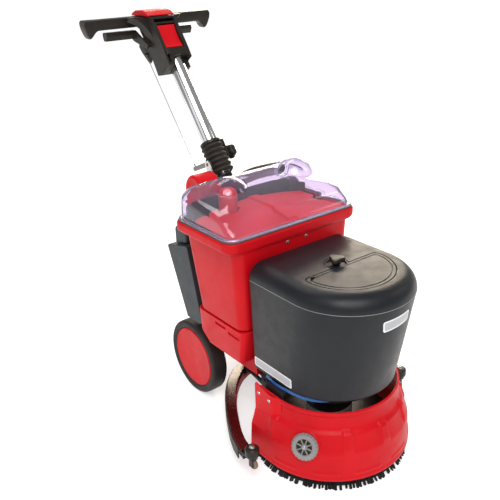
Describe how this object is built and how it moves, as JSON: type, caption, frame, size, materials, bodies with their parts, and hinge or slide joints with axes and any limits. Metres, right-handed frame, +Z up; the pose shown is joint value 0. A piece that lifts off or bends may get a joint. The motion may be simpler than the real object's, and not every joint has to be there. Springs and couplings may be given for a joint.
{
  "type": "wet dry floor scrubber",
  "caption": "Walk-behind floor scrubber with a disc brush under a round skirt, two tanks, a clear lid, a curved squeegee and a leaning handle column.",
  "frame": {"origin": "on the floor, at the middle of the footprint box", "axes": "+Z up, -Y towards the brush and solution tank at the front, +Y towards the operator's handle, +X to the machine's left as seen by the operator facing forward"},
  "size_m": [0.5524, 1.002, 1.039],
  "materials": {
    "red_plastic": "moulded red polyethylene, satin, fine stipple",
    "charcoal_plastic": "moulded charcoal polyethylene, satin",
    "slate_plastic": "moulded slate polyethylene, satin",
    "black_plastic": "black nylon, satin",
    "black_metal": "black powder coat",
    "rubber_black": "matt black rubber",
    "rubber_red": "red squeegee rubber",
    "tyre_rubber": "dark grey moulded tyre",
    "bristle": "black nylon bristle",
    "clear_plastic": "clear thermoformed plastic with a faint violet tint",
    "steel": "brushed stainless steel",
    "chrome": "polished chrome tube",
    "grey_plastic": "grey moulded plastic",
    "gasket_foam": "grey foam rubber",
    "blue_tube": "blue polyurethane tube",
    "brown_nylon": "brown cast nylon"
  },
  "bodies": {
    "root": {"gearbox": "grey_plastic", "brush_motor": "black_metal", "deck_frame": "black_metal", "brush_skirt": "red_plastic", "solution_tank": "charcoal_plastic", "solution_hose": "blue_tube", "recovery_tank": "red_plastic", "tank_gasket": "gasket_foam", "tank_baffle": "red_plastic", "splash_wall": "black_plastic", "float_filter": "red_plastic", "chassis_shell": "red_plastic", "battery_front": "black_plastic", "battery_rear": "black_plastic", "axle": "steel", "axle_bracket": "black_metal", "rear_housing": "slate_plastic", "control_box": "slate_plastic", "charger_unit": "grey_plastic", "column_tower": "black_metal", "vacuum_housing": "red_plastic", "squeegee_mount": "black_metal", "suction_hose": "rubber_black"},
    "brush": {"brush_bristles": "bristle", "brush_block": "black_plastic", "brush_hub": "steel"},
    "dial": {"skirt_dial": "grey_plastic"},
    "filler_lid": {"filler_lid": "charcoal_plastic"},
    "filler_knob": {"filler_knob": "black_plastic"},
    "clear_lid": {"clear_lid": "clear_plastic"},
    "turbine": {"vacuum_turbine": "grey_plastic"},
    "wheel_left": {"tyre_left": "tyre_rubber", "wheel_disc_left": "red_plastic"},
    "wheel_right": {"tyre_right": "tyre_rubber", "wheel_disc_right": "red_plastic"},
    "column": {"column_foot": "black_metal", "pivot_pin_bracket": "steel", "column_tube": "chrome", "bellows": "rubber_black", "clamp_collar": "black_plastic", "head_shell": "black_plastic", "handle_bar": "black_plastic", "top_cover": "red_plastic"},
    "clamp_knob": {"clamp_knob": "black_plastic"},
    "release_crank": {"release_crank": "steel"},
    "release_wire": {"release_wire": "steel"},
    "red_rocker": {"red_rocker": "red_plastic"},
    "height_latch": {"height_latch": "black_plastic"},
    "hand_lever": {"hand_lever": "black_plastic"},
    "squeegee_arms": {"squeegee_arms": "black_metal"},
    "squeegee_lower_link": {"squeegee_lower_link": "black_metal"},
    "squeegee": {"squeegee_carrier": "black_metal", "squeegee_plate": "steel", "squeegee_blade_rear": "rubber_black", "squeegee_blade_front": "rubber_red", "squeegee_nozzle": "black_plastic"},
    "roller_left": {"bumper_roller_left": "black_plastic"},
    "roller_right": {"bumper_roller_right": "black_plastic"},
    "caster_left": {"caster_wheel_left": "brown_nylon"},
    "caster_right": {"caster_wheel_right": "brown_nylon"}
  },
  "joints": [
    {"name": "brush_spin", "type": "hinge", "parent": "root", "child": "brush", "pos_m": [0, -0.29, 0.05], "axis": [0, 0, 1], "continuous": true},
    {"name": "dial_turn", "type": "hinge", "parent": "root", "child": "dial", "pos_m": [-0.16801, -0.387, 0.116], "axis": [-0.8138, -0.4698, 0.342], "range_deg": [-90, 90]},
    {"name": "filler_lid_lift", "type": "slide", "parent": "root", "child": "filler_lid", "axis": [0, 0, 1], "range_m": [0, 0.06]},
    {"name": "filler_knob_turn", "type": "hinge", "parent": "filler_lid", "child": "filler_knob", "pos_m": [0, -0.308, 0.51], "axis": [0, 0, 1], "range_deg": [0, 180]},
    {"name": "clear_lid_lift", "type": "slide", "parent": "root", "child": "clear_lid", "axis": [0, 0, 1], "range_m": [0, 0.12]},
    {"name": "turbine_spin", "type": "hinge", "parent": "root", "child": "turbine", "pos_m": [-0.09, 0.117, 0.604], "axis": [1, 0, 0], "continuous": true},
    {"name": "wheel_left_roll", "type": "hinge", "parent": "root", "child": "wheel_left", "pos_m": [-0.13, 0.118, 0.11], "axis": [1, 0, 0], "continuous": true},
    {"name": "wheel_right_roll", "type": "hinge", "parent": "root", "child": "wheel_right", "pos_m": [0.13, 0.118, 0.11], "axis": [1, 0, 0], "continuous": true},
    {"name": "column_tilt", "type": "hinge", "parent": "root", "child": "column", "pos_m": [0, 0.117, 0.6], "axis": [-1, 0, 0], "range_deg": [-35, 15], "deforming": ["bellows"]},
    {"name": "clamp_knob_turn", "type": "hinge", "parent": "column", "child": "clamp_knob", "pos_m": [0.05, 0.17031, 0.67127], "axis": [1, 0, 0], "range_deg": [-180, 180]},
    {"name": "hand_lever_squeeze", "type": "hinge", "parent": "column", "child": "hand_lever", "pos_m": [0, 0.40698, 0.94755], "axis": [1, 0, 0], "range_deg": [0, 5], "stiffness_Nm_per_rad": 4, "springref_deg": -20.05},
    {"name": "release_crank_turn", "type": "hinge", "parent": "column", "child": "release_crank", "pos_m": [-0.04, 0.14293, 0.65803], "axis": [1, 0, 0], "range_deg": [0, 3.5]},
    {"name": "release_wire_pull", "type": "slide", "parent": "column", "child": "release_wire", "axis": [0, 0.6168, 0.7871], "range_m": [0, 0.0045]},
    {"name": "rocker_switch", "type": "hinge", "parent": "column", "child": "red_rocker", "pos_m": [0, 0.36955, 0.96681], "axis": [1, 0, 0], "range_deg": [-5, 5]},
    {"name": "height_latch_slide", "type": "slide", "parent": "column", "child": "height_latch", "axis": [0, -0.599, -0.8007], "range_m": [0, 0.018]},
    {"name": "squeegee_lift", "type": "hinge", "parent": "root", "child": "squeegee_arms", "pos_m": [0, -0.086, 0.09], "axis": [-1, 0, 0], "range_deg": [0, 25.6]},
    {"name": "squeegee_lower_link_turn", "type": "hinge", "parent": "root", "child": "squeegee_lower_link", "pos_m": [0, -0.086, 0.062], "axis": [-1, 0, 0], "range_deg": [0, 25.6]},
    {"name": "squeegee_level", "type": "hinge", "parent": "squeegee_arms", "child": "squeegee", "pos_m": [0, 0.00176, 0.10994], "axis": [-1, 0, 0], "range_deg": [-25.6, 0]},
    {"name": "bumper_left_spin", "type": "hinge", "parent": "squeegee", "child": "roller_left", "pos_m": [-0.259, -0.301, 0.095], "axis": [0, 0, 1], "continuous": true},
    {"name": "bumper_right_spin", "type": "hinge", "parent": "squeegee", "child": "roller_right", "pos_m": [0.259, -0.301, 0.095], "axis": [0, 0, 1], "continuous": true},
    {"name": "caster_left_roll", "type": "hinge", "parent": "squeegee", "child": "caster_left", "pos_m": [-0.256, -0.3, 0.056], "axis": [1, 0, 0], "continuous": true},
    {"name": "caster_right_roll", "type": "hinge", "parent": "squeegee", "child": "caster_right", "pos_m": [0.256, -0.3, 0.056], "axis": [1, 0, 0], "continuous": true}
  ],
  "couplings": [
    {"joint": "release_wire_pull", "follows": "hand_lever_squeeze", "m_per_rad": 0.0454},
    {"joint": "release_crank_turn", "follows": "hand_lever_squeeze", "ratio": 0.603},
    {"joint": "squeegee_lower_link_turn", "follows": "squeegee_lift", "ratio": 1},
    {"joint": "squeegee_level", "follows": "squeegee_lift", "ratio": -1}
  ]
}
